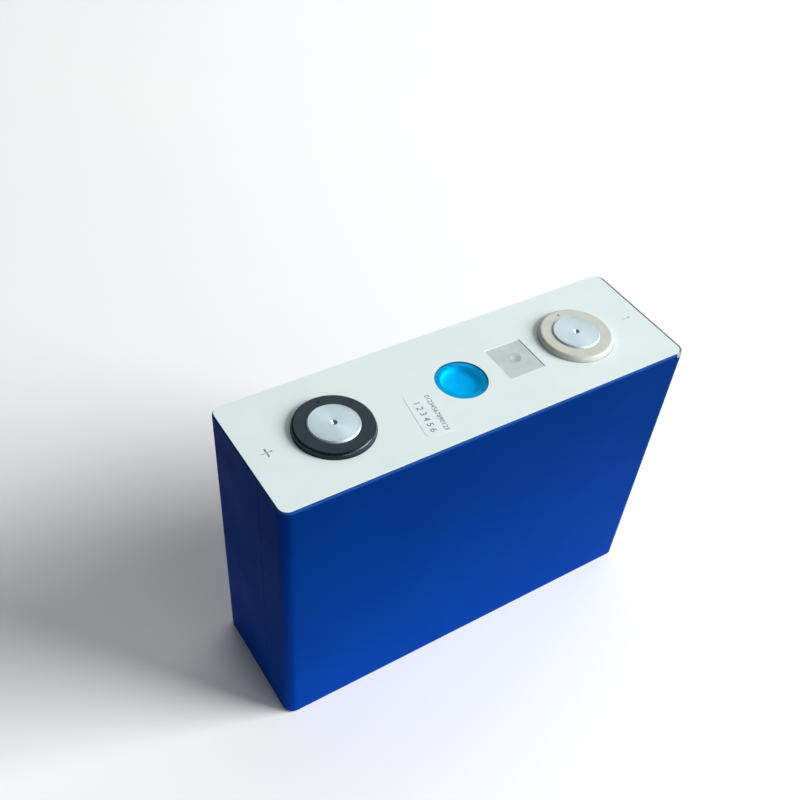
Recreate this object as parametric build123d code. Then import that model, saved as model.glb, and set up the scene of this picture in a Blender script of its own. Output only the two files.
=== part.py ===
from build123d import *

import os

# Prismatic lithium iron phosphate cell, in millimetres.
# Origin: centre of the underside. +X runs along the long side from the positive terminal to the
# negative one, +Y points to the rear broad face and +Z up.

# Envelope over the plastic wrap
cell_length = 160.0
cell_thickness = 50.0
shoulder_height = 116.3
terminal_height = 118.8
corner_radius = 4.0

# Skins of polyester film
film = 0.12
film_lip_inset = 0.3
fold_width = 7.0
sheet = 0.2
sheet_rim_left = 0.65
sheet_rim_right = 1.4
sheet_rim_front = 0.65
sheet_rim_rear = 0.5
sheet_corner_radius = 3.1
bottom_sheet_inset = 1.2

# Drawn aluminium can and its welded lid
can_wall = 0.8
can_floor = 1.5
can_bottom_edge = 0.8
can_top_edge = 0.7
lid_thickness = 2.5
can_low = sheet + film
can_high = shoulder_height - sheet
can_length = cell_length - 2 * film
can_thickness = cell_thickness - 2 * film
can_radius = corner_radius - film
cavity_length = can_length - 2 * can_wall
cavity_thickness = can_thickness - 2 * can_wall
cavity_radius = can_radius - can_wall
cavity_low = can_low + can_floor
lid_low = can_high - lid_thickness

# Terminals, off centre by the tolerance of the lid
terminal_reach = 48.65
terminal_shift = -0.55
terminal_y = -0.5
disc_radius = 8.6
disc_chamfer = 0.45
disc_low = can_high + 0.5
disc_line_radius = 7.7
disc_line_depth = 0.06
disc_line_half_width = 0.1
dimple_radius = 0.95
dimple_depth = 0.7
shaft_radius = 6.0
flange_radius = 10.5
flange_low = 111.5
flange_high = 113.0
spigot_radius = 4.5
spigot_high = 117.8
bore_radius = 7.5
seal_flange_radius = 9.5
ring_radius = 13.6
ring_foot_height = 0.35
ring_top_radius = 13.2
ring_high = 118.3
ring_foot_round = 0.15
ring_mouth_chamfer = 0.2
ring_hole_clearance = 0.2
positive_ring_shoulder = 1.0
negative_ring_shoulder = 1.2
peg_radius = 0.9
peg_reach = 11.0
peg_depth = 0.8
peg_clearance = 0.05
gate_mark_radius = 0.45
gate_mark_reach = 10.5
gate_mark_depth = 0.3

# Burst vent, off centre by the tolerance of the punched sheet
vent_x = -0.7
vent_y = -0.5
vent_bore_radius = 7.25
vent_window_radius = 9.15
vent_film_radius = 9.9
vent_film_low = can_high - 0.15
vent_film_thickness = 0.1
vent_disc_radius = 8.5
vent_disc_high = lid_low + 0.5
membrane = 0.25
score_radius = 5.6
score_width = 0.3
score_depth = 0.12
score_sweep = 300

# Electrolyte filling port
fill_x = 22.2
fill_y = 0.4
fill_bore_radius = 1.5
seal_cap_radius = 2.4
seal_cap_thickness = 0.8
seal_cap_dish = 0.3
fill_passage_radius = 3.0
plug_overhang = 0.5
plug_foot_radius = 1.9
port_window_x = 21.75
port_window_y = -0.05
port_window_length = 14.7
port_window_width = 15.7

# Polarity marks: slots in the sheet above grooves in the lid
plus_x = -72.3
plus_y = -0.2
minus_x = 71.6
minus_y = -0.7
mark_length = 3.8
minus_length = 3.4
mark_stroke = 0.6
groove_depth = 0.15

# Serial number label
label_length = 9.8
label_width = 19.5
label_radius = 1.6
label_thickness = 0.06
label_x = -19.3
label_y = -8.9
label_turn = -7.8

# Liner and supports
bag = 0.15
bag_clearance = 0.08
bag_high = 111.0
support_high = 3.6
support_inset = 0.6
support_hole_radius = 2.2
support_hole_pitch = 16.0
support_hole_row = 11.5

# Electrode rolls: each is wound flat about a vertical mandrel
half_turns = 12
mandrel_gap = 0.7
winding_half_length = 67.0
winding_tail = 45.0
cathode = 0.58
anode = 0.50
separator = 0.21
ply_gap = 0.06
winding_pitch = cathode + anode + 2 * separator + 4 * ply_gap
roll_y = 11.4
separator_low = 3.7
separator_high = 105.0
anode_inset = 1.0
cathode_inset = 2.0
tape = 0.08
tape_low = 25.0
tape_high = 85.0
tape_on_tail = 30.0
tape_past_tail = 15.0

# Current collectors and the foil tabs welded under them
collector_low = 110.0
pad_near = 37.0
pad_far = 62.0
pad_width = 24.0
neck_near = 33.0
neck_width = 14.0
wing_near = 14.0
wing_width = 39.0
fuse_hole_radius = 1.6
fuse_hole_reach = 3.6
leaf = 0.16
leaf_pitch = 0.2
leaf_bend = 0.6
leaf_end = 18.5
tab_near = 15.0
tab_far = 32.0
weld_cover = 0.1

# Insulators clipped under the lid
insulator_low = 111.9
insulator_skirt_low = 109.6
insulator_near = 12.6
insulator_far = 72.0
insulator_width = 45.0
insulator_wall = 0.8
insulator_radius = 2.0
insulator_fit = 0.1
guard_length = 20.0
guard_width = 30.0
guard_low = 111.4
guard_wall = 0.8
guard_slots = 5
guard_slot_width = 2.0
guard_slot_length = 22.0
guard_slot_pitch = 3.4


def rounded_block(length, width, radius, low, high, x=0.0, y=0.0):
    """Upright block with rounded vertical corners."""
    return extrude(Pos(x, y, low) * RectangleRounded(length, width, radius), high - low)


def block(near, far, width, low, high, y=0.0):
    """Plain block between two stations along X."""
    middle = Pos((near + far) / 2, y, (low + high) / 2)
    return middle * Box(abs(far - near), width, high - low)


def cylinder(radius, low, high, x=0.0, y=0.0):
    """Upright cylinder."""
    return Pos(x, y, (low + high) / 2) * Cylinder(radius, high - low)


def turned(profile, x, y=0.0):
    """Body turned about an upright axis at x, y from a profile of (radius, height) points."""
    outline = make_face(Polyline([(radius, 0, height) for radius, height in profile], close=True))
    return Pos(x, y, 0) * revolve(outline, Axis.Z)


def circles(body, radius, height):
    """Circular edges of the given radius at the given height."""
    found = body.edges().filter_by(GeomType.CIRCLE)
    found = found.filter_by(lambda edge: abs(edge.radius - radius) < 1e-3)
    return found.filter_by(lambda edge: abs(edge.arc_center.Z - height) < 1e-3)


def end_edges(body, end):
    """Edges round the flat underside (end 0) or top (end -1)."""
    return body.faces().sort_by(Axis.Z)[end].edges()


def terminal_x(side):
    """Station along X of the positive terminal (side -1) or the negative one (side 1)."""
    return terminal_shift + side * terminal_reach


def peg_stations(side):
    """Stations along X of the two pegs that stop a terminal ring from turning."""
    return terminal_x(side) - peg_reach, terminal_x(side) + peg_reach


# Outside of the cell

def can_outside(skin=0.0):
    """Outside of the can, or of a skin on it, with a radius round its floor and round its rim."""
    solid = rounded_block(can_length + 2 * skin, can_thickness + 2 * skin, can_radius + skin,
                          can_low - skin, can_high + skin)
    solid = fillet(end_edges(solid, 0), can_bottom_edge + skin)
    return fillet(end_edges(solid, -1), can_top_edge + skin)


def can():
    """Deep-drawn can, open at the top."""
    cavity = rounded_block(cavity_length, cavity_thickness, cavity_radius, cavity_low, can_high)
    return can_outside() - cavity


def wrap_film():
    """Blue sleeve that turns in over the rounded rim of the can and folds in under its floor."""
    sleeve = can_outside(film) - can_outside()
    sleeve -= rounded_block(can_length - 2 * film_lip_inset, can_thickness - 2 * film_lip_inset,
                            can_radius - film_lip_inset, can_high - can_top_edge, can_high + film)
    return sleeve - rounded_block(cell_length - 2 * fold_width, cell_thickness - 2 * fold_width,
                                  corner_radius, 0, can_low)


def bottom_sheet():
    """Flat sheet stuck over the folded ends of the wrap."""
    length = cell_length - 2 * bottom_sheet_inset
    width = cell_thickness - 2 * bottom_sheet_inset
    return rounded_block(length, width, corner_radius - bottom_sheet_inset, 0, sheet)


def polarity_marks(low, high):
    """Strokes of the plus and minus signs."""
    plus_middle = Pos(plus_x, plus_y, (low + high) / 2)
    minus_middle = Pos(minus_x, minus_y, (low + high) / 2)
    plus = plus_middle * Box(mark_length, mark_stroke, high - low)
    plus += plus_middle * Box(mark_stroke, mark_length, high - low)
    return plus + minus_middle * Box(minus_length, mark_stroke, high - low)


def top_sheet():
    """White sheet punched for the terminals, the vent, the filling port and the marks.

    It is stuck on a little off centre, so that the rim of the can shows most at the negative end.
    """
    length = cell_length - sheet_rim_left - sheet_rim_right
    width = cell_thickness - sheet_rim_front - sheet_rim_rear
    span = (can_high, shoulder_height)
    body = rounded_block(length, width, sheet_corner_radius, *span, (sheet_rim_left - sheet_rim_right) / 2,
                         (sheet_rim_front - sheet_rim_rear) / 2)
    for side in (-1, 1):
        body -= cylinder(ring_radius + ring_hole_clearance, *span, terminal_x(side), terminal_y)
    body -= cylinder(vent_window_radius, *span, x=vent_x, y=vent_y)
    near = port_window_x - port_window_length / 2
    far = port_window_x + port_window_length / 2
    body -= block(near, far, port_window_width, *span, y=port_window_y)
    return body - polarity_marks(*span)


def serial_label():
    """Small paper label stuck on the sheet at a slight angle."""
    outline = RectangleRounded(label_length, label_width, label_radius)
    placed = Pos(label_x, label_y, shoulder_height) * Rot(0, 0, label_turn) * outline
    return extrude(placed, label_thickness)


# Lid and what is set in it

def lid_plate():
    """Lid with its terminal bores, vent seat, filling port, peg pockets and stamped marks."""
    body = rounded_block(cavity_length, cavity_thickness, cavity_radius, lid_low, can_high)
    for side in (-1, 1):
        body -= cylinder(bore_radius, lid_low, can_high, terminal_x(side), terminal_y)
        for peg_x in peg_stations(side):
            body -= cylinder(peg_radius + peg_clearance, can_high - peg_depth, can_high, peg_x, terminal_y)
    body -= cylinder(vent_bore_radius, lid_low, can_high, vent_x, vent_y)
    body -= cylinder(vent_film_radius, vent_film_low, can_high, vent_x, vent_y)
    body -= cylinder(vent_disc_radius, lid_low, vent_disc_high, vent_x, vent_y)
    body -= cylinder(fill_bore_radius, lid_low, can_high, fill_x, fill_y)
    body -= cylinder(seal_cap_radius, can_high - seal_cap_thickness, can_high, fill_x, fill_y)
    return body - polarity_marks(can_high - groove_depth, can_high)


def vent_disc():
    """Burst disc: a thin membrane in a thicker rim, with an open ring of scoring on top."""
    body = cylinder(vent_disc_radius, lid_low, vent_disc_high, vent_x, vent_y)
    body -= cylinder(vent_bore_radius, lid_low, vent_disc_high - membrane, vent_x, vent_y)
    deep = vent_disc_high - score_depth
    corners = [(score_radius, deep), (score_radius + score_width, deep),
               (score_radius + score_width, vent_disc_high), (score_radius, vent_disc_high)]
    outline = make_face(Polyline([(radius, 0, height) for radius, height in corners], close=True))
    return body - Pos(vent_x, vent_y, 0) * revolve(outline, Axis.Z, score_sweep)


def vent_film():
    """Blue film that keeps dust out of the vent."""
    return cylinder(vent_film_radius, vent_film_low, vent_film_low + vent_film_thickness, vent_x, vent_y)


def vent_guard():
    """Slotted tray that keeps the liner and the rolls away from the vent."""
    body = rounded_block(guard_length, guard_width, insulator_radius, guard_low, lid_low, vent_x, vent_y)
    body -= rounded_block(guard_length - 2 * guard_wall, guard_width - 2 * guard_wall,
                          insulator_radius - guard_wall, guard_low + guard_wall, lid_low, vent_x, vent_y)
    for slot in range(guard_slots):
        x = vent_x + (slot - (guard_slots - 1) / 2) * guard_slot_pitch
        body -= block(x - guard_slot_width / 2, x + guard_slot_width / 2, guard_slot_length,
                      guard_low, guard_low + guard_wall, y=vent_y)
    return body


def fill_plug():
    """Rubber plug pressed into the filling port, with a foot that snaps under the lid."""
    high = can_high - seal_cap_thickness
    return turned([(0, lid_low - plug_overhang), (plug_foot_radius, lid_low - plug_overhang),
                   (plug_foot_radius, lid_low), (fill_bore_radius, lid_low),
                   (fill_bore_radius, high), (0, high)], fill_x, fill_y)


def fill_seal_cap():
    """Aluminium cap welded flush over the plug, dished in the middle."""
    low = can_high - seal_cap_thickness
    return turned([(0, low), (seal_cap_radius, low), (seal_cap_radius, can_high),
                   (seal_cap_radius - seal_cap_dish, can_high), (0, can_high - seal_cap_dish)],
                  fill_x, fill_y)


# Terminals

def disc_outline():
    """Upper outline of a terminal disc, from its underside in to the centre dimple."""
    groove = disc_line_radius
    half = disc_line_half_width
    return [(disc_radius, disc_low), (disc_radius, terminal_height - disc_chamfer),
            (disc_radius - disc_chamfer, terminal_height), (groove + half, terminal_height),
            (groove, terminal_height - disc_line_depth), (groove - half, terminal_height),
            (dimple_radius, terminal_height), (0, terminal_height - dimple_depth)]


def positive_pole():
    """One aluminium piece: flange, shaft and contact disc."""
    foot = [(0, flange_low), (flange_radius, flange_low), (flange_radius, flange_high),
            (shaft_radius, flange_high), (shaft_radius, disc_low)]
    return turned(foot + disc_outline(), terminal_x(-1), terminal_y)


def negative_pole_base():
    """Copper flange and shaft with a spigot for the aluminium cap."""
    return turned([(0, flange_low), (flange_radius, flange_low), (flange_radius, flange_high),
                   (shaft_radius, flange_high), (shaft_radius, disc_low), (spigot_radius, disc_low),
                   (spigot_radius, spigot_high), (0, spigot_high)], terminal_x(1), terminal_y)


def negative_pole_cap():
    """Aluminium contact disc welded over the copper spigot."""
    socket = [(0, spigot_high), (spigot_radius, spigot_high), (spigot_radius, disc_low)]
    return turned(socket + disc_outline(), terminal_x(1), terminal_y)


def terminal_ring(side, shoulder):
    """Moulded ring that holds the pole in the lid: an inner lip, a rounded shoulder and two pegs."""
    body = turned([(shaft_radius, can_high), (ring_radius, can_high),
                   (ring_radius, can_high + ring_foot_height), (ring_top_radius, ring_high),
                   (disc_radius, ring_high), (disc_radius, disc_low), (shaft_radius, disc_low)],
                  terminal_x(side), terminal_y)
    body = fillet(circles(body, ring_top_radius, ring_high), shoulder)
    body = fillet(circles(body, ring_radius, can_high + ring_foot_height), ring_foot_round)
    body = chamfer(circles(body, disc_radius, ring_high), ring_mouth_chamfer)
    for peg_x in peg_stations(side):
        body += cylinder(peg_radius, can_high - peg_depth + peg_clearance, can_high, peg_x, terminal_y)
    return body - cylinder(gate_mark_radius, ring_high - gate_mark_depth, ring_high, terminal_x(side),
                           terminal_y + gate_mark_reach)


def terminal_seal(side):
    """Rubber sleeve with a flange, squeezed between the pole and the lid."""
    return turned([(shaft_radius, flange_high), (seal_flange_radius, flange_high),
                   (seal_flange_radius, lid_low), (bore_radius, lid_low), (bore_radius, can_high),
                   (shaft_radius, can_high)], terminal_x(side), terminal_y)


def lower_insulator(side):
    """Tray under the lid that covers the collector, open round the pole's flange."""
    near = side * insulator_near
    far = side * insulator_far
    length = abs(far - near)
    middle = (near + far) / 2
    body = rounded_block(length, insulator_width, insulator_radius, insulator_skirt_low, lid_low, middle)
    body -= rounded_block(length - 2 * insulator_wall, insulator_width - 2 * insulator_wall,
                          insulator_radius - insulator_wall, insulator_skirt_low, insulator_low, middle)
    place = (terminal_x(side), terminal_y)
    body -= cylinder(flange_radius + insulator_fit, insulator_low, flange_high, *place)
    body -= cylinder(seal_flange_radius + insulator_fit, flange_high, lid_low, *place)
    if side > 0:
        body -= cylinder(fill_passage_radius, insulator_low, lid_low, fill_x, fill_y)
    return body


def collector(side):
    """Collector plate: a pad welded to the pole, a neck and a wing for the foil tabs.

    The positive neck is holed to act as a fuse. The negative wing is holed under the filling port.
    """
    body = block(side * pad_near, side * pad_far, pad_width, collector_low, flange_low)
    body += block(side * neck_near, side * pad_near, neck_width, collector_low, flange_low)
    body += block(side * wing_near, side * neck_near, wing_width, collector_low, flange_low)
    if side > 0:
        return body - cylinder(fill_passage_radius, collector_low, flange_low, fill_x, fill_y)
    for y in (-fuse_hole_reach, fuse_hole_reach):
        body -= cylinder(fuse_hole_radius, collector_low, flange_low, side * (neck_near + pad_near) / 2, y)
    return body


def weld_covers(side):
    """Two strips of tape over the tab welds, one above each roll."""
    middle = side * (tab_near + tab_far) / 2
    reach = (leaf_end + neck_width / 2) / 2
    width = leaf_end - neck_width / 2
    strips = [Pos(middle, y, flange_low + weld_cover / 2) * Box(tab_far - tab_near, width, weld_cover)
              for y in (-reach, reach)]
    return Compound(strips)


# Electrode rolls

def wound_wall(offset):
    """One face of a wound strip: straight runs joined by half circles, stepping out steadily."""
    edges = []
    for half in range(half_turns):
        side = 1 if half % 2 == 0 else -1
        reach = offset + half * winding_pitch / 2
        last = half == half_turns - 1
        end = winding_tail if last else winding_half_length
        edges.append(Line((-side * winding_half_length, side * reach), (side * end, side * reach)))
        if not last:
            middle = (side * (winding_half_length + reach + winding_pitch / 4), -side * winding_pitch / 4)
            landing = (side * winding_half_length, -side * (reach + winding_pitch / 2))
            edges.append(ThreePointArc((side * winding_half_length, side * reach), middle, landing))
    return edges


def wound_strip(offset, thickness, inset):
    """One electrode or separator of the front roll."""
    inner = wound_wall(offset)
    outer = wound_wall(offset + thickness)
    ends = [Line(inner[0] @ 0, outer[0] @ 0), Line(inner[-1] @ 1, outer[-1] @ 1)]
    outline = make_face(inner + outer + ends)
    low = separator_low + inset
    high = separator_high - inset
    return extrude(Pos(0, -roll_y, low) * outline, high - low)


def roll_tape():
    """Tape that steps down over the end of the front roll's outermost turn."""
    tail_reach = mandrel_gap + (half_turns - 1) * winding_pitch / 2 + winding_pitch - ply_gap
    under_reach = tail_reach - winding_pitch
    high_y = -roll_y - tail_reach
    low_y = -roll_y - under_reach
    start = -winding_tail + tape_on_tail
    end = -winding_tail - tape_past_tail
    corners = [(start, high_y), (-winding_tail, high_y), (-winding_tail, low_y), (end, low_y),
               (end, low_y - tape), (-winding_tail - tape, low_y - tape),
               (-winding_tail - tape, high_y - tape), (start, high_y - tape)]
    outline = make_face(Polyline(corners, close=True))
    return extrude(Pos(0, 0, tape_low) * outline, tape_high - tape_low)


def tab_stack(side, offset, thickness, inset):
    """Foil leaves that rise from the front roll, bend and lie in a stack under the collector."""
    leaves = []
    plies = half_turns // 2
    middle = side * (tab_near + tab_far) / 2
    for ply in range(plies):
        rise_y = -roll_y + offset + ply * winding_pitch + thickness / 2
        foot = separator_high - inset
        level = collector_low - leaf / 2 - (plies - 1 - ply) * leaf_pitch
        path = FilletPolyline((rise_y, foot), (rise_y, level), (-leaf_end, level), radius=leaf_bend)
        section = Plane.YZ * trace(path, leaf)
        leaves.append(Pos(middle, 0, 0) * extrude(section, (tab_far - tab_near) / 2, both=True))
    return Compound(leaves)


def insulating_bag():
    """Liner folded from thin film, open at the top."""
    length = cavity_length - 2 * bag_clearance
    width = cavity_thickness - 2 * bag_clearance
    radius = cavity_radius - bag_clearance
    low = cavity_low + bag_clearance
    body = rounded_block(length, width, radius, low, bag_high)
    return body - rounded_block(length - 2 * bag, width - 2 * bag, radius - bag, low + bag, bag_high)


def bottom_support():
    """Plate under the rolls, with rows of holes for the electrolyte."""
    inset = bag_clearance + bag + support_inset
    low = cavity_low + bag_clearance + bag
    body = rounded_block(cavity_length - 2 * inset, cavity_thickness - 2 * inset,
                         cavity_radius - inset, low, support_high)
    columns = int(cavity_length / support_hole_pitch) - 1
    for column in range(columns):
        x = (column - (columns - 1) / 2) * support_hole_pitch
        for y in (-support_hole_row, support_hole_row):
            body -= cylinder(support_hole_radius, low, support_high, x, y)
    return body


cathode_offset = mandrel_gap
inner_separator_offset = cathode_offset + cathode + ply_gap
anode_offset = inner_separator_offset + separator + ply_gap
outer_separator_offset = anode_offset + anode + ply_gap

parts = {
    "can": can(),
    "wrap_film": wrap_film(),
    "bottom_sheet": bottom_sheet(),
    "top_sheet": top_sheet(),
    "serial_label": serial_label(),
    "lid_plate": lid_plate(),
    "vent_disc": vent_disc(),
    "vent_film": vent_film(),
    "vent_guard": vent_guard(),
    "fill_plug": fill_plug(),
    "fill_seal_cap": fill_seal_cap(),
    "positive_pole": positive_pole(),
    "negative_pole_base": negative_pole_base(),
    "negative_pole_cap": negative_pole_cap(),
    "positive_terminal_ring": terminal_ring(-1, positive_ring_shoulder),
    "negative_terminal_ring": terminal_ring(1, negative_ring_shoulder),
    "insulating_bag": insulating_bag(),
    "bottom_support": bottom_support(),
}

for name, side in (("positive", -1), ("negative", 1)):
    parts[name + "_collector"] = collector(side)
    parts[name + "_seal"] = terminal_seal(side)
    parts[name + "_lower_insulator"] = lower_insulator(side)
    parts[name + "_weld_covers"] = weld_covers(side)

front_roll = {
    "cathode": wound_strip(cathode_offset, cathode, cathode_inset),
    "inner_separator": wound_strip(inner_separator_offset, separator, 0),
    "anode": wound_strip(anode_offset, anode, anode_inset),
    "outer_separator": wound_strip(outer_separator_offset, separator, 0),
    "positive_tabs": tab_stack(-1, cathode_offset, cathode, cathode_inset),
    "negative_tabs": tab_stack(1, anode_offset, anode, anode_inset),
    "roll_tape": roll_tape(),
}
for name, piece in front_roll.items():
    parts["front_" + name] = piece
    parts["rear_" + name] = mirror(piece, Plane.XZ)

os.makedirs("parts", exist_ok=True)
for name, piece in parts.items():
    export_step(piece, "parts/" + name + ".step")
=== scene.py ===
import math

import bmesh
import bpy
from mathutils import Matrix, Vector, noise


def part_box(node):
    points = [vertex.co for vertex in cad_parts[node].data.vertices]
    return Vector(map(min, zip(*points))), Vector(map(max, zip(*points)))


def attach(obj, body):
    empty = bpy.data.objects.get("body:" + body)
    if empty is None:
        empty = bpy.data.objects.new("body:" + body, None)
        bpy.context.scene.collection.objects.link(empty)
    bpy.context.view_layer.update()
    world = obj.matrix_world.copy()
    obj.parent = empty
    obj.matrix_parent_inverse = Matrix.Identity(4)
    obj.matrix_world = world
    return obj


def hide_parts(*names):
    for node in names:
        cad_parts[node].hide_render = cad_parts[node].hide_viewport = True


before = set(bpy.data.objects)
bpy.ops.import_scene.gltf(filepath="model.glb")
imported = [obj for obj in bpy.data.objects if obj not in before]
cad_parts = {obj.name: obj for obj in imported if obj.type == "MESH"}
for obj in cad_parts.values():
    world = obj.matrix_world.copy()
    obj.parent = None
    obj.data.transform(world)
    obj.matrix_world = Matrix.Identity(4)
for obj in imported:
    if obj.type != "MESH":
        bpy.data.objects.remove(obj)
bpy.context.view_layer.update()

MM = 0.001


# ---------------------------------------------------------------- helpers

def linear(colour):
    """Linear red, green and blue of an sRGB hex colour."""
    channels = [int(colour[i:i + 2], 16) / 255 for i in (1, 3, 5)]
    return [c / 12.92 if c <= 0.04045 else ((c + 0.055) / 1.055) ** 2.4 for c in channels]


def rgba(colour):
    """The same with full cover, as a colour socket takes it."""
    return linear(colour) + [1.0]


def add(tree, kind, sockets=None, stops=None, **settings):
    """Adds a node: settings are its properties, sockets its values or the outputs linked to them."""
    made = tree.nodes.new(kind)
    for name, value in settings.items():
        setattr(made, name, value)
    if stops:
        ramp = made.color_ramp.elements
        ramp.remove(ramp[-1])
        ramp[0].position = stops[0][0]
        ramp[0].color = rgba(stops[0][1])
        for place, colour in stops[1:]:
            ramp.new(place).color = rgba(colour)
    for name, value in (sockets or {}).items():
        if isinstance(value, bpy.types.NodeSocket):
            tree.links.new(value, made.inputs[name])
        else:
            made.inputs[name].default_value = value
    return made


def per_metre(size_mm):
    """Texture scale at which one feature is that many millimetres across."""
    return 1 / (size_mm * MM)


def finish(name, **sockets):
    """A material with one Principled shader; gives the material, its tree and the shader."""
    made = bpy.data.materials.new(name)
    made.use_nodes = True
    tree = made.node_tree
    tree.nodes.clear()
    shader = add(tree, "ShaderNodeBsdfPrincipled", sockets)
    add(tree, "ShaderNodeOutputMaterial", {"Surface": shader.outputs[0]})
    return made, tree, shader


def grained(name, light, dark, patch_mm, grain_mm, depth_mm, rough, **sockets):
    """A finish with colour that drifts between two shades in patches, over a fine grained surface.

    rough is the least and the most roughness; sockets are other values of the shader.
    """
    made, tree, shader = finish(name, **sockets)
    place = add(tree, "ShaderNodeTexCoord").outputs["Object"]
    patches = add(tree, "ShaderNodeTexNoise",
                  {"Vector": place, "Scale": per_metre(patch_mm), "Detail": 3.0, "Roughness": 0.55})
    shade = add(tree, "ShaderNodeValToRGB", {"Fac": patches.outputs["Fac"]},
                stops=((0.35, dark), (0.65, light)))
    grain = add(tree, "ShaderNodeTexNoise",
                {"Vector": place, "Scale": per_metre(grain_mm), "Detail": 2.0, "Roughness": 0.6})
    spread = add(tree, "ShaderNodeMapRange",
                 {"Value": grain.outputs["Fac"], "From Min": 0.3, "From Max": 0.7,
                  "To Min": rough[0], "To Max": rough[1]})
    relief = add(tree, "ShaderNodeBump",
                 {"Height": grain.outputs["Fac"], "Distance": depth_mm * MM, "Strength": 1.0})
    tree.links.new(shade.outputs["Color"], shader.inputs["Base Color"])
    tree.links.new(spread.outputs["Result"], shader.inputs["Roughness"])
    tree.links.new(relief.outputs["Normal"], shader.inputs["Normal"])
    return made


def piece(name, mesh, material, smooth_deg=35):
    """Links a mesh as a named piece of the cell; edges sharper than smooth_deg stay sharp."""
    made = bpy.data.objects.new(name, mesh)
    bpy.context.scene.collection.objects.link(made)
    mesh.materials.append(material)
    mesh.shade_smooth()
    mesh.set_sharp_from_angle(angle=math.radians(smooth_deg))
    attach(made, "root")
    return made


def closed_rings(name, rings):
    """Mesh of quads between closed rings of equal count, with the last ring joined to the first."""
    mesh = bpy.data.meshes.new(name)
    count = len(rings[0])
    points = [p for ring in rings for p in ring]
    faces = []
    for r in range(len(rings)):
        for i in range(count):
            j = (i + 1) % count
            s = (r + 1) % len(rings)
            faces.append((r * count + i, r * count + j, s * count + j, s * count + i))
    mesh.from_pydata(points, [], faces)
    mesh.validate()
    return mesh


# ---------------------------------------------------------------- places, from the frame

def middle(node):
    """Centre of a CAD node's box."""
    low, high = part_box(node)
    return (low + high) / 2


def top_centre(node):
    """Middle of the top of a CAD node's box."""
    centre = middle(node)
    return Vector((centre.x, centre.y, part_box(node)[1].z))


wrap_low, wrap_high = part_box("wrap_film")
can_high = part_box("can")[1]
label_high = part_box("serial_label")[1]
half_length = wrap_high.x
half_width = wrap_high.y
film = wrap_high.x - can_high.x

corner = 4.0 * MM  # outside radius of the cell's four upright corners
can_edge = 0.7 * MM  # rounding of the can's top edge
floor_edge = 0.8 * MM  # rounding of the can's bottom edge
fold_width = 7.0 * MM  # how far the film is folded in under the floor
seam_y = -9.3 * MM  # free edge of the film's overlap, on the left end

rim_round = can_edge + film
rim_start = can_high.z - can_edge
floor_round = floor_edge + film
vent_centre = middle("vent_film")
positive_top = top_centre("positive_pole")
negative_top = top_centre("negative_pole_cap")


# ---------------------------------------------------------------- materials

def blue_polyester_wrap():
    """Calendered polyester, dyed in the mass and shrunk on: a deep blue with a satin gloss.

    Its colour is painted darker towards the top and in large soft patches, as painted shade and painted
    reflection. It swells faintly where it bridges the can, and a paler band over the rim is a painted
    highlight. Its fine calendered grain breaks up white reflections, so little specular is left.
    """
    made, tree, shader = finish("calendered_blue_polyester", **{
        "Metallic": 0.06, "IOR": 1.57, "Specular IOR Level": 0.004, "Roughness": 0.34,
        "Specular Tint": rgba("#0A3CFF")})
    place = add(tree, "ShaderNodeTexCoord").outputs["Object"]
    # Painted shade and painted reflection: the film's colour gets large soft patches and darkens towards the
    # top.
    painted_reflection_patches = add(tree, "ShaderNodeTexNoise",
                {"Vector": place, "Scale": per_metre(45), "Detail": 2.0, "Roughness": 0.5})
    height = add(tree, "ShaderNodeSeparateXYZ", {"Vector": place}).outputs["Z"]
    painted_top_shade = add(tree, "ShaderNodeMapRange", {"Value": height, "From Max": rim_start, "To Max": 0.7})
    painted_shade_drift = add(tree, "ShaderNodeMath", {0: painted_reflection_patches.outputs["Fac"], 1: 0.3, 2: painted_top_shade.outputs["Result"]},
                operation="MULTIPLY_ADD")
    shade = add(tree, "ShaderNodeValToRGB", {"Fac": painted_shade_drift.outputs["Value"]},
                stops=((0.15, "#003486"), (0.5, "#002B70"), (0.85, "#00245F")))
    # Painted highlight: a paler band of colour over the rim's rounding, for the sheen of the upward-facing
    # lip.
    rim_highlight_span = add(tree, "ShaderNodeMapRange",
                  {"Value": height, "From Min": rim_start - 0.4 * MM, "From Max": rim_start + 0.3 * MM})
    painted_rim_highlight = add(tree, "ShaderNodeMix",
                    {"Factor": rim_highlight_span.outputs["Result"], "A": shade.outputs["Color"],
                     "B": rgba("#183F7C")}, data_type="RGBA")
    swell = add(tree, "ShaderNodeTexNoise",
                {"Vector": place, "Scale": per_metre(9), "Detail": 1.0, "Roughness": 0.5})
    peel = add(tree, "ShaderNodeTexNoise",
               {"Vector": place, "Scale": per_metre(0.7), "Detail": 2.0, "Roughness": 0.5})
    swell_relief = add(tree, "ShaderNodeBump",
                       {"Height": swell.outputs["Fac"], "Distance": 0.05 * MM, "Strength": 1.0})
    peel_relief = add(tree, "ShaderNodeBump",
                      {"Height": peel.outputs["Fac"], "Distance": 0.004 * MM, "Strength": 1.0,
                       "Normal": swell_relief.outputs["Normal"]})
    handled = add(tree, "ShaderNodeTexNoise",
                  {"Vector": place, "Scale": per_metre(22), "Detail": 4.0, "Roughness": 0.65})
    gloss = add(tree, "ShaderNodeMapRange",
                {"Value": handled.outputs["Fac"], "From Min": 0.35, "From Max": 0.7,
                 "To Min": 0.30, "To Max": 0.40})
    tree.links.new(painted_rim_highlight.outputs["Result"], shader.inputs["Base Color"])
    tree.links.new(gloss.outputs["Result"], shader.inputs["Roughness"])
    tree.links.new(peel_relief.outputs["Normal"], shader.inputs["Normal"])
    return made


disc_radius = 8.6  # contact disc, in millimetres
disc_face = 8.05  # where its chamfer starts


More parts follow.
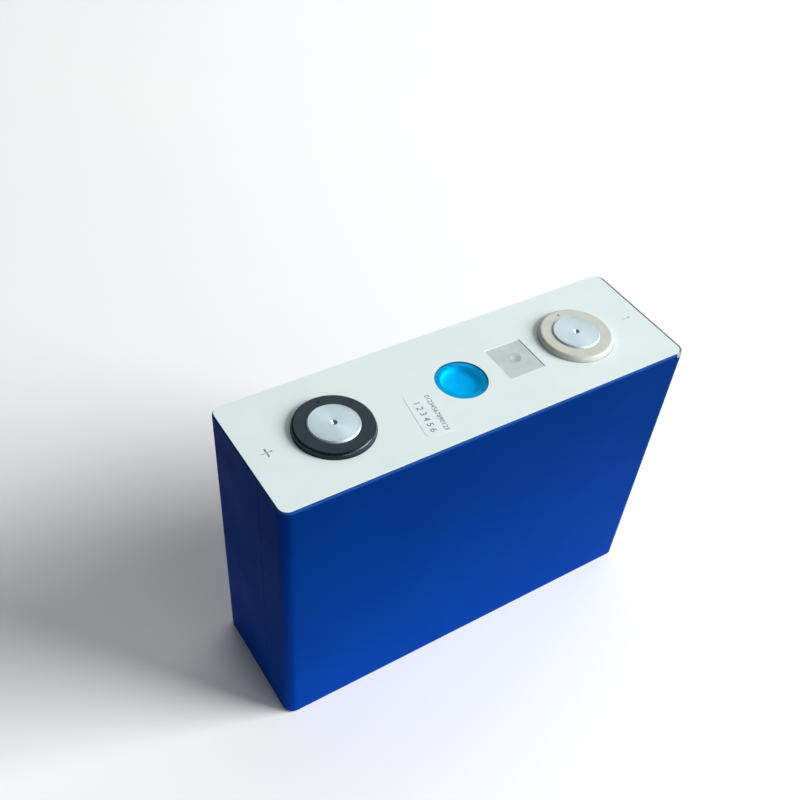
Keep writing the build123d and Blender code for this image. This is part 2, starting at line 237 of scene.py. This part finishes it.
def turned_aluminium(name, centre, shade, streak):
    """Faced on a lathe: fine rings round the centre, which spread a highlight into two bright sectors.

    The chamfer round the face is left duller by the parting tool.
    """
    made, tree, shader = finish(name, **{
        "Metallic": 1.0, "Roughness": 0.4, "Anisotropic": streak, "Anisotropic Rotation": 0.25,
        "Base Color": rgba(shade)})
    place = add(tree, "ShaderNodeTexCoord").outputs["Object"]
    centred = add(tree, "ShaderNodeVectorMath", {0: place, 1: centre}, operation="SUBTRACT")
    ring_pitch_mm = 0.35  # real rings are about 0.1 mm apart, too fine to show
    wave_period = 2 * math.pi / 20  # distance between two rings at a scale of 1
    rings = add(tree, "ShaderNodeTexWave",
                {"Vector": centred.outputs["Vector"], "Scale": wave_period / (ring_pitch_mm * MM),
                 "Distortion": 0.6, "Detail": 2.0},
                wave_type="RINGS", rings_direction="Z", wave_profile="SIN")
    relief = add(tree, "ShaderNodeBump",
                 {"Height": rings.outputs["Fac"], "Distance": 0.0012 * MM, "Strength": 1.0})
    around = add(tree, "ShaderNodeTangent", direction_type="RADIAL", axis="Z")
    stain = add(tree, "ShaderNodeTexNoise",
                {"Vector": place, "Scale": per_metre(3.0), "Detail": 5.0, "Roughness": 0.6})
    gloss = add(tree, "ShaderNodeMapRange",
                {"Value": stain.outputs["Fac"], "From Min": 0.3, "From Max": 0.7,
                 "To Min": 0.34, "To Max": 0.42})
    reach = add(tree, "ShaderNodeVectorMath", {0: centred.outputs["Vector"]}, operation="LENGTH")
    chamfer = add(tree, "ShaderNodeMapRange",
                  {"Value": reach.outputs["Value"], "From Min": (disc_face - 0.05) * MM,
                   "From Max": (disc_face + 0.05) * MM, "To Max": 0.3})
    dull = add(tree, "ShaderNodeMath", {0: gloss.outputs["Result"], 1: chamfer.outputs["Result"]},
               operation="ADD")
    tree.links.new(dull.outputs["Value"], shader.inputs["Roughness"])
    tree.links.new(relief.outputs["Normal"], shader.inputs["Normal"])
    tree.links.new(around.outputs["Tangent"], shader.inputs["Tangent"])
    return made


def clear_blue_film():
    """Cast clear polyester, dyed: azure over bright metal, painted darker at its rim as shade under the
    sheet's edge, hard gloss.

    Light crosses both faces of the film on its way in and again on its way out, so the clear colour
    acts four times.
    """
    made, tree, shader = finish("cast_clear_blue_polyester", **{
        "Roughness": 0.08, "IOR": 1.57, "Specular IOR Level": 0.15})
    place = add(tree, "ShaderNodeTexCoord").outputs["Object"]
    centred = add(tree, "ShaderNodeVectorMath", {0: place, 1: vent_centre}, operation="SUBTRACT")
    reach = add(tree, "ShaderNodeVectorMath", {0: centred.outputs["Vector"]}, operation="LENGTH")
    # Painted shade: the film's colour darkens towards its rim, under the edge of the sheet's window.
    rim_shade_span = add(tree, "ShaderNodeMapRange",
               {"Value": reach.outputs["Value"], "From Min": 8.7 * MM, "From Max": 9.2 * MM})
    film_dye_and_rim_shade = add(tree, "ShaderNodeValToRGB", {"Fac": rim_shade_span.outputs["Result"]},
              stops=((0.0, "#00B2FC"), (0.5, "#008CC8"), (1.0, "#005F8C")))
    tree.links.new(film_dye_and_rim_shade.outputs["Color"], shader.inputs["Base Color"])
    clear = add(tree, "ShaderNodeBsdfTransparent", {"Color": rgba("#1EEEFF")})
    both = add(tree, "ShaderNodeMixShader", {"Fac": 0.08, 1: clear.outputs[0], 2: shader.outputs[0]})
    out = next(n for n in tree.nodes if n.type == "OUTPUT_MATERIAL")
    tree.links.new(both.outputs[0], out.inputs["Surface"])
    return made


def milled_seat(made):
    """Mills the seat under the vent film: brighter than the etched lid, with a dark ring of painted shade
    under the edge of the sheet's window.
    """
    tree = made.node_tree
    shader = next(n for n in tree.nodes if n.type == "BSDF_PRINCIPLED")
    place = add(tree, "ShaderNodeTexCoord").outputs["Object"]
    centred = add(tree, "ShaderNodeVectorMath", {0: place, 1: vent_centre}, operation="SUBTRACT")
    reach = add(tree, "ShaderNodeVectorMath", {0: centred.outputs["Vector"]}, operation="LENGTH")
    seat = add(tree, "ShaderNodeMapRange",
               {"Value": reach.outputs["Value"], "From Min": 10.4 * MM, "From Max": 10.0 * MM})
    # Painted shade: the seat is coloured dark in a ring under the edge of the sheet's window.
    rim_shade_reach = add(tree, "ShaderNodeMapRange",
                {"Value": reach.outputs["Value"], "From Min": 8.6 * MM, "From Max": 9.1 * MM})
    seat_and_rim_shade = add(tree, "ShaderNodeValToRGB", {"Fac": rim_shade_reach.outputs["Result"]},
                stops=((0.0, "#E2DEEA"), (1.0, "#6A6E78")))
    etched = shader.inputs["Base Color"].links[0].from_socket
    milled = add(tree, "ShaderNodeMix",
                 {"Factor": seat.outputs["Result"], "A": etched, "B": seat_and_rim_shade.outputs["Color"]},
                 data_type="RGBA")
    tree.links.new(milled.outputs["Result"], shader.inputs["Base Color"])
    return made


blue_wrap = blue_polyester_wrap()
vent_film_blue = clear_blue_film()
turned_positive = turned_aluminium("turned_aluminium_positive", positive_top, "#C8DCE2", 0.5)
turned_negative = turned_aluminium("turned_aluminium_negative", negative_top, "#CDE0E6", 0.3)

# Polyester sheet with an embossed matte face: an even cool white that shows no highlight.
white_sheet = grained("embossed_white_polyester", "#DDE9E9", "#D9E6E6", patch_mm=18, grain_mm=0.35,
                      depth_mm=0.006, rough=(0.5, 0.62), IOR=1.57)

# Paper with a smooth clay coating: the same white as the sheet, with a little more sheen.
label_stock = grained("clay_coated_label_paper", "#DFEAEB", "#DAE6E7", patch_mm=4, grain_mm=0.25,
                      depth_mm=0.003, rough=(0.38, 0.5), IOR=1.5)

# Resin ink melted on from a ribbon: grey strokes with soft uneven cover.
ink = grained("thermal_transfer_ink", "#4A5458", "#5E6A6E", patch_mm=1.2, grain_mm=0.2,
              depth_mm=0.002, rough=(0.45, 0.6), IOR=1.5)

# Deep drawn aluminium: pale satin metal, smeared smooth by the die.
drawn_can = grained("drawn_aluminium", "#C8CDD0", "#BCC2C6", patch_mm=6, grain_mm=0.3,
                    depth_mm=0.004, rough=(0.32, 0.45), Metallic=1.0)

# Stamped aluminium, etched clean before welding: dull light grey with no reflections.
lid_metal = milled_seat(grained("etched_aluminium_lid", "#D0DBDB", "#C6D2D2", patch_mm=5, grain_mm=0.3,
                                depth_mm=0.008, rough=(0.6, 0.7), Metallic=1.0))

# Thin rolled and annealed aluminium: the whitest metal here, with a soft broad glow.
vent_metal = grained("rolled_aluminium_membrane", "#F2F8FA", "#E8F0F4", patch_mm=4, grain_mm=0.3,
                     depth_mm=0.004, rough=(0.7, 0.8), Metallic=1.0)

# Aluminium remelted by a laser: scaly, dark grey from its heat tint and darker still as painted shade of the
# narrow gap beside the sheet it frames.
weld_metal_and_gap_shade = grained("laser_welded_aluminium_and_gap_shade", "#7A8484", "#626C6C", patch_mm=1.5, grain_mm=0.2,
                     depth_mm=0.01, rough=(0.5, 0.7), Metallic=1.0)

# Pressed aluminium cap, hazed by the weld round it: close to the lid in shade, and duller.
seal_metal = grained("pressed_aluminium_cap", "#C6D2D2", "#BAC6C6", patch_mm=2, grain_mm=0.3,
                     depth_mm=0.006, rough=(0.7, 0.8), Metallic=1.0)

# Glass-filled polyphenylene sulphide from a polished mould: blue-black, with a slim cool highlight.
black_pps = grained("moulded_black_pps", "#0F1D24", "#081218", patch_mm=5, grain_mm=0.25,
                    depth_mm=0.008, rough=(0.21, 0.34),
                    **{"IOR": 1.6, "Specular IOR Level": 0.36, "Specular Tint": rgba("#D0ECFF")})

# The same plastic in its natural shade: warm ivory, half matte, with soft edges of light.
ivory_pps = grained("moulded_ivory_pps", "#C7C9BE", "#BFC2B6", patch_mm=5, grain_mm=0.25,
                    depth_mm=0.008, rough=(0.36, 0.48), IOR=1.6)

# Copper turned and wiped clean: salmon pink with a clear reflection.
copper = grained("turned_copper", "#D98A62", "#C87A54", patch_mm=4, grain_mm=0.3,
                 depth_mm=0.004, rough=(0.25, 0.35), Metallic=1.0)

# Moulded fluororubber: near black, with no gloss.
rubber = grained("moulded_fluororubber", "#1B1B1C", "#141415", patch_mm=3, grain_mm=0.3,
                 depth_mm=0.01, rough=(0.6, 0.75), IOR=1.4)

# Moulded polypropylene without pigment: milky cream and waxy.
natural_pp = grained("moulded_natural_polypropylene", "#E6E4DB", "#DDDBD1", patch_mm=12, grain_mm=0.3,
                     depth_mm=0.008, rough=(0.4, 0.55), IOR=1.49)

# Thin cast polyester bag: half clear and glossy, with a cold tinge.
liner = grained("cast_liner_polyester", "#D8E2E8", "#CCD8E0", patch_mm=25, grain_mm=0.5,
                depth_mm=0.004, rough=(0.2, 0.3), IOR=1.57, Alpha=0.5)

# Cathode powder pressed between rollers: charcoal grey, flat and even.
cathode_coat = grained("calendered_cathode_coating", "#2C2C2E", "#232325", patch_mm=3, grain_mm=0.1,
                       depth_mm=0.004, rough=(0.55, 0.7))

# Graphite pressed between rollers: blacker, with a faint sheen from its flakes.
anode_coat = grained("calendered_graphite_coating", "#1A1A1A", "#121212", patch_mm=3, grain_mm=0.1,
                     depth_mm=0.004, rough=(0.5, 0.62))

# Stretched polyolefin full of fine pores: paper white and matte.
separator_film = grained("stretched_microporous_polyolefin", "#F0F0EC", "#E8E8E4", patch_mm=8, grain_mm=0.15,
                         depth_mm=0.002, rough=(0.5, 0.6))

# Rolled aluminium foil: bright, with a clear reflection broken by small creases.
aluminium_foil = grained("rolled_aluminium_foil", "#DADCDD", "#CDD0D2", patch_mm=4, grain_mm=0.4,
                         depth_mm=0.006, rough=(0.2, 0.3), Metallic=1.0)

# Rolled copper foil: the same, in pink.
copper_foil = grained("rolled_copper_foil", "#DB9068", "#CB805A", patch_mm=4, grain_mm=0.4,
                      depth_mm=0.006, rough=(0.2, 0.3), Metallic=1.0)

# Cast polyimide with silicone glue: amber and glossy.
amber_tape = grained("cast_polyimide_tape", "#C48A2C", "#B67C22", patch_mm=6, grain_mm=0.4,
                     depth_mm=0.003, rough=(0.2, 0.3), IOR=1.7)

# Calendered polyester tape with acrylic glue: leaf green with a satin face.
green_tape = grained("calendered_green_polyester_tape", "#2C7A4A", "#256E42", patch_mm=8, grain_mm=0.4,
                     depth_mm=0.003, rough=(0.3, 0.4), IOR=1.57)

node_finish = {
    "can": drawn_can,
    "lid_plate": lid_metal,
    "vent_disc": vent_metal,
    "fill_seal_cap": seal_metal,
    "positive_collector": lid_metal,
    "positive_pole": turned_positive,
    "negative_pole_cap": turned_negative,
    "negative_pole_base": copper,
    "negative_collector": copper,
    "wrap_film": blue_wrap,
    "bottom_sheet": blue_wrap,
    "top_sheet": white_sheet,
    "serial_label": label_stock,
    "vent_film": vent_film_blue,
    "positive_terminal_ring": black_pps,
    "negative_terminal_ring": ivory_pps,
    "positive_seal": rubber,
    "negative_seal": rubber,
    "fill_plug": rubber,
    "vent_guard": natural_pp,
    "bottom_support": natural_pp,
    "positive_lower_insulator": natural_pp,
    "negative_lower_insulator": natural_pp,
    "insulating_bag": liner,
    "positive_weld_covers": amber_tape,
    "negative_weld_covers": amber_tape,
}
for roll in ("front", "rear"):
    node_finish[roll + "_cathode"] = cathode_coat
    node_finish[roll + "_anode"] = anode_coat
    node_finish[roll + "_inner_separator"] = separator_film
    node_finish[roll + "_outer_separator"] = separator_film
    node_finish[roll + "_positive_tabs"] = aluminium_foil
    node_finish[roll + "_negative_tabs"] = copper_foil
    node_finish[roll + "_roll_tape"] = green_tape

for name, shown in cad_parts.items():
    shown.data.materials.clear()
    shown.data.materials.append(node_finish[name])


# ---------------------------------------------------------------- blue wrap

def ring_stations():
    """Stations round the cell: (kind, where), anticlockwise from the middle of the left end.

    Along a side, where runs from -1 to 1 between the corners; round a corner it is the angle. There are
    extra stations each side of the seam, and where the film's trimmed edge drops near the right corners.
    """
    seam = seam_y / (half_width - corner)
    slit = 0.001
    left = sorted([1 - i / 12 for i in range(25)] + [seam + slit, seam - slit], reverse=True)
    stations = [("left", t) for t in left]
    stations += [("corner", math.radians(a)) for a in range(189, 270, 9)]
    trims = [1 - gap * MM / (half_length - corner) for gap in (0.2, 0.4, 0.6, 0.8, 1.0)]
    along = sorted([i / 40 - 1 for i in range(81)] + trims)
    stations += [("front", t) for t in along]
    stations += [("corner", math.radians(a)) for a in range(273, 360, 3)]
    stations += [("right", i / 12 - 1) for i in range(25)]
    stations += [("corner", math.radians(a)) for a in range(3, 90, 3)]
    stations += [("rear", t) for t in reversed(along)]
    stations += [("corner", math.radians(a)) for a in range(99, 180, 9)]
    return stations


def ring_point(kind, where, inset):
    """Point of the rounded outline at a station, moved in from the outermost face."""
    sharpest = 1.0 * MM
    radius = max(corner - inset, sharpest)
    reach_x = half_length - inset - radius
    reach_y = half_width - inset - radius
    if kind == "front":
        return where * reach_x, -half_width + inset
    if kind == "rear":
        return where * reach_x, half_width - inset
    if kind == "right":
        return half_length - inset, where * reach_y
    if kind == "left":
        return -half_length + inset, where * reach_y
    x = math.cos(where)
    y = math.sin(where)
    return math.copysign(reach_x, x) + radius * x, math.copysign(reach_y, y) + radius * y


def smooth(low, high, value):
    """Eases from 0 at low to 1 at high."""
    t = min(1.0, max(0.0, (value - low) / (high - low)))
    return t * t * (3 - 2 * t)


def lip_length(x, y):
    """How far the film reaches past the start of the rim's rounding; it was trimmed lower at the right."""
    full = 0.95 + 0.07 * noise.noise(Vector((x, y, 0)) / (9 * MM))
    trimmed = -1.15 + 0.12 * noise.noise(Vector((x, y, 7)) / (5 * MM))
    share = smooth(75.3, 76.1, x / MM)
    return (full * (1 - share) + trimmed * share) * MM


def wrap_profile(x, y, depth):
    """Points (inset, height) of one face of the film, from its fold under the floor up to its lip."""
    turn = floor_round - depth
    points = [(inset, wrap_low.z + depth) for inset in (fold_width, 5 * MM, 3 * MM, 1.6 * MM)]
    for step in range(7):
        angle = math.radians(90 * step / 6)
        height = wrap_low.z + floor_round - turn * math.cos(angle)
        points.append((floor_round - turn * math.sin(angle), height))
    points += [(depth, z * MM) for z in (4, 10, 20, 30, 42, 55, 68, 80, 92, 102, 110, 113)]
    start = rim_start - 1.6 * MM  # from here up the rings lie close together
    reach = rim_start - start + lip_length(x, y)
    bend = rim_round - depth
    for step in range(12):
        run = reach * step / 11
        past = max(0.0, run - (rim_start - start)) / rim_round
        height = min(start + run, rim_start)
        points.append((rim_round - bend * math.cos(past), height + bend * math.sin(past)))
    return points


def sag(kind, x, y, z):
    """How far the film lies in from the outermost face: its overlap stands proud at the left end."""
    slack = 0.035 + 0.035 * noise.noise(Vector((x, y, z)) / (26 * MM))
    if kind == "left":
        over = 1 - smooth(4.0, 9.0, y / MM) if y > seam_y else 0.0
        slack = 0.065 * (1 - over)
    return slack * MM * smooth(0.5, 3.0, z / MM)


def wrap_mesh():
    """Film sleeve with a lap seam, rounded in over the rim and folded under the floor."""
    rings = []
    for kind, where in ring_stations():
        x, y = ring_point(kind, where, 0.0)
        outer = wrap_profile(x, y, 0.0)
        inner = wrap_profile(x, y, film)
        ring = []
        for inset, z in outer:
            ring.append((*ring_point(kind, where, inset + sag(kind, x, y, z)), z))
        for inset, z in reversed(inner):
            ring.append((*ring_point(kind, where, inset), z))
        rings.append(ring)
    return closed_rings("blue_wrap", rings)


wrap = piece("blue_wrap", wrap_mesh(), blue_wrap)
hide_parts("wrap_film")


# ---------------------------------------------------------------- welded rim

def rim_path():
    """Stations round the outline: the centre of its corner, and the direction out from there."""
    path = []
    for sign_x, sign_y, start in ((1, 1, 0), (-1, 1, 90), (-1, -1, 180), (1, -1, 270)):
        centre = Vector((sign_x * (half_length - corner), sign_y * (half_width - corner)))
        for degrees in range(0, 91, 5):
            angle = math.radians(start + degrees)
            path.append((centre, Vector((math.cos(angle), math.sin(angle)))))
    return path


def weld_section(centre, out, ripple):
    """Section of the skin at a station: over the can's rounded edge, onto the lid, and back below.

    The bead spread wider at the right end, where it shows beside the sheet.
    """
    sunk = 0.02 * MM
    thick = film * 0.35 + ripple
    outermost = (centre + out * corner).x / MM
    bead_reach = rim_round + (0.02 + 0.55 * smooth(76.5, 79.5, outermost)) * MM
    ring = []
    for lift, turns in ((thick, (0, 18, 36, 54, 72, 90)), (-sunk, (90, 60, 30, 0))):
        radius = rim_round - film + lift
        over = []
        for degrees in turns:
            angle = math.radians(degrees)
            inset = rim_round - radius * math.cos(angle)
            over.append((*(centre + out * (corner - inset)), rim_start + radius * math.sin(angle)))
        inmost = (*(centre + out * (corner - bead_reach)), can_high.z + lift)
        ring += over + [inmost] if lift > 0 else [inmost] + over
    return ring


def weld_rim_mesh():
    """Skin of remelted metal over the rim of the can, rippled by the laser's pulses."""
    ripple_pitch = 0.9 * MM  # real pulses are about 0.3 mm apart, too fine to show
    ripple_height = 0.012 * MM
    path = rim_path()
    rings = []
    run = 0.0
    for i, (centre, out) in enumerate(path):
        next_centre, next_out = path[(i + 1) % len(path)]
        gap = ((next_centre + next_out * corner) - (centre + out * corner)).length
        steps = max(1, round(gap / (ripple_pitch / 3)))
        for step in range(steps):
            t = step / steps
            ripple = ripple_height * math.sin(2 * math.pi * (run + gap * t) / ripple_pitch)
            out_now = out.lerp(next_out, t).normalized()
            rings.append(weld_section(centre.lerp(next_centre, t), out_now, ripple))
        run += gap
    return closed_rings("lid_weld_rim", rings)


weld_rim = piece("lid_weld_rim", weld_rim_mesh(), weld_metal_and_gap_shade)


# ---------------------------------------------------------------- terminals

def arc(centre_r, centre_z, radius, start, end, steps):
    """Points of a round in a turned profile, between two angles in degrees."""
    angles = [math.radians(start + (end - start) * i / steps) for i in range(steps + 1)]
    return [(centre_r + radius * math.cos(a), centre_z + radius * math.sin(a)) for a in angles]


def turned_mesh(name, profile, centre):
    """Solid turned about an upright axis; the profile starts and ends on the axis, in millimetres."""
    segments = 240
    mesh = bpy.data.meshes.new(name)
    points = [Vector((centre.x, centre.y, profile[0][1] * MM))]
    for radius, z in profile[1:-1]:
        for i in range(segments):
            a = 2 * math.pi * i / segments
            points.append(Vector((centre.x + radius * MM * math.cos(a),
                                  centre.y + radius * MM * math.sin(a), z * MM)))
    points.append(Vector((centre.x, centre.y, profile[-1][1] * MM)))
    last = len(points) - 1
    faces = []
    for i in range(segments):
        j = (i + 1) % segments
        faces.append((0, 1 + j, 1 + i))
        for r in range(len(profile) - 3):
            a = 1 + r * segments
            b = a + segments
            faces.append((a + i, a + j, b + j, b + i))
        top = 1 + (len(profile) - 3) * segments
        faces.append((top + i, top + j, last))
    mesh.from_pydata(points, [], faces)
    mesh.validate()
    return mesh


def disc_profile(top):
    """Contact disc: straight side, chamfer with softened edges, one turned line and a centre mark."""
    edge = [(disc_radius, disc_foot), (disc_radius, top - 0.52)]
    edge += [(8.575, top - 0.44), (8.52, top - 0.36), (8.24, top - 0.08), (8.16, top - 0.02)]
    edge += [(disc_face, top)]
    line = [(7.80, top), (7.74, top - 0.015), (7.70, top - 0.03), (7.66, top - 0.015), (7.60, top)]
    mark = [(1.15, top), (1.07, top - 0.05), (0.2, top - 0.82), (0, top - 0.85)]
    return edge + line + mark


def contact_disc(side, node, centre, under, material):
    """Disc over its own underside, which stands for the CAD node of that pole."""
    name = side + "_contact_disc"
    profile = under + disc_profile(centre.z / MM)
    disc = piece(name, turned_mesh(name, profile, centre), material, smooth_deg=30)
    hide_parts(node)


disc_foot = can_high.z / MM + 0.5
flange_radius = 10.5
flange_thickness = 1.5
shaft_radius = 6.0
spigot_radius = 4.5
spigot_top = negative_top.z / MM - 1.0

flange_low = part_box("positive_pole")[0].z / MM
flange_high = flange_low + flange_thickness
flange_and_shaft = [(0, flange_low), (flange_radius, flange_low), (flange_radius, flange_high),
                    (shaft_radius, flange_high), (shaft_radius, disc_foot)]
socket = [(0, spigot_top), (spigot_radius, spigot_top), (spigot_radius, disc_foot)]
contact_disc("positive", "positive_pole", positive_top, flange_and_shaft, turned_positive)
contact_disc("negative", "negative_pole_cap", negative_top, socket, turned_negative)


# ---------------------------------------------------------------- burst vent

def pressed_vent_profile():
    """Cup pressed from thin sheet: clamped rim, wall standing in the bore, round corner, scored floor."""
    clamped_radius = 8.5
    wall_radius = 7.2
    corner_radius = 1.6
    foot = can_high.z / MM - 2.5
    floor = foot + 0.5
    bowl = arc(wall_radius - corner_radius, floor + corner_radius, corner_radius, 0, -90, 10)
    rim = [(0, foot), (clamped_radius, foot), (clamped_radius, floor), (wall_radius, floor)]
    score = [(5.0, floor), (4.9, floor - 0.12), (4.8, floor)]
    return rim + bowl + score + [(0, floor)]


vent_cup = piece("pressed_vent_cup", turned_mesh("pressed_vent_cup", pressed_vent_profile(), vent_centre),
                 vent_metal)
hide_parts("vent_disc")


# ---------------------------------------------------------------- serial label print

def printed_row(name, digits, start, end, height_mm):
    """Row of printed digits from one point of the label to another, their tops towards +X."""
    cap_height = 0.7  # height of a digit at a text size of 1
    ink_depth = 0.004 * MM
    run = (Vector(end) - Vector(start)) * MM
    pitch = run / (len(digits) - 1)
    turn = Matrix.Rotation(math.atan2(run.y, run.x), 4, "Z")
    whole = bmesh.new()
    for i, digit in enumerate(digits):
        text = bpy.data.curves.new(name + "_digit", "FONT")
        text.body = digit
        text.align_x = "CENTER"
        text.align_y = "CENTER"
        text.size = height_mm * MM / cap_height
        text.extrude = ink_depth
        text.resolution_u = 4
        holder = bpy.data.objects.new(name + "_digit", text)
        shape = bpy.data.meshes.new_from_object(holder)
        place = Vector(start) * MM + pitch * i
        shape.transform(Matrix.Translation((place.x, place.y, label_high.z + ink_depth)) @ turn)
        whole.from_mesh(shape)
        bpy.data.objects.remove(holder)
        bpy.data.curves.remove(text)
        bpy.data.meshes.remove(shape)
    mesh = bpy.data.meshes.new(name)
    whole.to_mesh(mesh)
    whole.free()
    row = piece(name, mesh, ink)


printed_row("serial_digits", "123456", (-20.35, -3.2), (-21.95, -15.9), 2.3)
printed_row("batch_digits", "01234567890123", (-15.6, -1.9), (-17.8, -17.4), 1.7)


# ---------------------------------------------------------------- studio

def studio_floor():
    """Painted board, rolled on in thin coats: white and dead matte."""
    mesh = bpy.data.meshes.new("studio_floor")
    reach = 6.0
    mesh.from_pydata([(-reach, -reach, 0), (reach, -reach, 0), (reach, reach, 0), (-reach, reach, 0)],
                     [], [(0, 1, 2, 3)])
    made = bpy.data.objects.new("studio_floor", mesh)
    bpy.context.scene.collection.objects.link(made)
    mesh.materials.append(grained("painted_studio_floor", "#F7F8F8", "#F4F5F6", patch_mm=300, grain_mm=2.0,
                                  depth_mm=0.01, rough=(0.75, 0.85)))


def softbox(name, place, aim, size, power):
    """Square area light at a place, turned to a point."""
    lamp = bpy.data.lights.new(name, "AREA")
    lamp.shape = "SQUARE"
    lamp.size = size
    lamp.energy = power
    made = bpy.data.objects.new(name, lamp)
    made.location = place
    made.rotation_euler = (Vector(aim) - Vector(place)).to_track_quat("-Z", "Y").to_euler()
    made.visible_camera = False
    bpy.context.scene.collection.objects.link(made)


def camera():
    """Standing over the front left corner and looking down across the lid."""
    lens = bpy.data.cameras.new("camera")
    lens.sensor_width = 36.0
    lens.lens = 44.76
    lens.shift_x = -0.0493
    lens.shift_y = 0.1089
    made = bpy.data.objects.new("camera", lens)
    heading, tilt, roll = (math.radians(a) for a in (-39.49, 41.84, 8.33))
    turn = Matrix.Rotation(heading, 4, "Z") @ Matrix.Rotation(tilt, 4, "X") @ Matrix.Rotation(roll, 4, "Z")
    made.matrix_world = Matrix.Translation(Vector((-160.1, -190.6, 338.7)) * MM) @ turn
    bpy.context.scene.collection.objects.link(made)
    bpy.context.scene.camera = made


studio_floor()
world = bpy.data.worlds.new("studio")
world.use_nodes = True
world.node_tree.nodes["Background"].inputs["Color"].default_value = rgba("#EAF2F6")
world.node_tree.nodes["Background"].inputs["Strength"].default_value = 0.1
bpy.context.scene.world = world
# The key stands high at the front right; the rest only lift the front, the left end and the lid.
softbox("key", (2.85, -1.95, 1.95), (0, 0, 0.06), 2.25, 262.0)
softbox("front_fill", (0.05, -0.50, 0.05), (-0.05, 0, 0.02), 0.25, 1.7)
softbox("left_fill", (-0.60, -0.10, 0.10), (-0.08, 0, 0.04), 0.4, 0.28)
softbox("overhead", (0.5, 0.6, 0.9), (0, 0, 0.1), 1.2, 4.4)
camera()
bpy.context.scene.view_settings.view_transform = "Standard"
